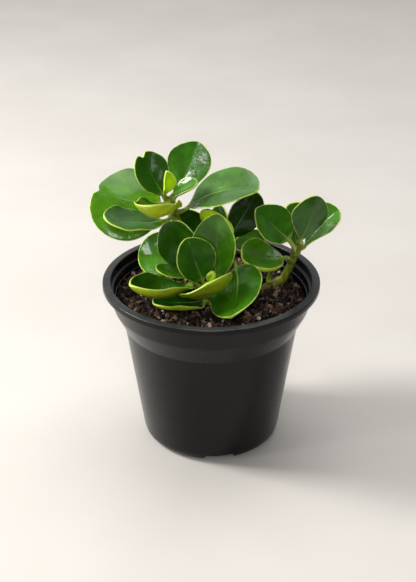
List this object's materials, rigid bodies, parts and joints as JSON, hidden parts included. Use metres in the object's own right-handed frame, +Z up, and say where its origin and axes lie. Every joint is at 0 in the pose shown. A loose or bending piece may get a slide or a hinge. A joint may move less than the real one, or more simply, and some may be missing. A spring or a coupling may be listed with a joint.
{
  "type": "potted peperomia",
  "caption": "Small leafy peperomia house plant with fleshy rounded leaves on short shoots, growing in soil in a plain round nursery pot.",
  "frame": {"origin": "centre of the pot's flat centre pad, on the surface that the pot stands on", "axes": "+Z up along the pot's axis, -Y towards the front, +X to the right seen from the front"},
  "size_m": [0.1374, 0.12, 0.1641],
  "materials": {
    "pot": "satin black moulded plastic",
    "soil": "loose dark coir and bark mix with pale perlite grains",
    "shoot": "fleshy olive green stem, browner near the soil",
    "leaf": "waxy dark green leaf with a pale margin and yellow-green underside",
    "young_leaf": "soft bright yellow-green new leaf"
  },
  "bodies": {
    "root": {"pot": "pot", "soil": "soil", "tall_shoot": "shoot", "front_shoot": "shoot", "back_shoot": "shoot", "right_shoot": "shoot", "tall_leaf_broad": "leaf", "tall_leaf_upper": "leaf", "tall_leaf_top": "leaf", "tall_leaf_right": "leaf", "tall_leaf_small": "leaf", "tall_leaf_young": "young_leaf", "tall_leaf_front": "leaf", "tall_leaf_lower": "leaf", "front_leaf_round": "leaf", "front_leaf_tall": "leaf", "front_leaf_near": "leaf", "front_leaf_rear_left": "leaf", "front_leaf_small": "leaf", "front_leaf_left": "leaf", "front_leaf_low": "leaf", "front_leaf_heart": "leaf", "front_bud": "young_leaf", "back_leaf_left": "leaf", "back_leaf_dark": "leaf", "back_leaf_pale": "leaf", "back_leaf_rear": "leaf", "back_leaf_right": "leaf", "right_leaf_low": "leaf", "right_leaf_left": "leaf", "right_leaf_cupped": "leaf", "right_leaf_top": "leaf", "right_leaf_pale": "leaf", "right_leaf_far": "leaf"}
  },
  "joints": []
}
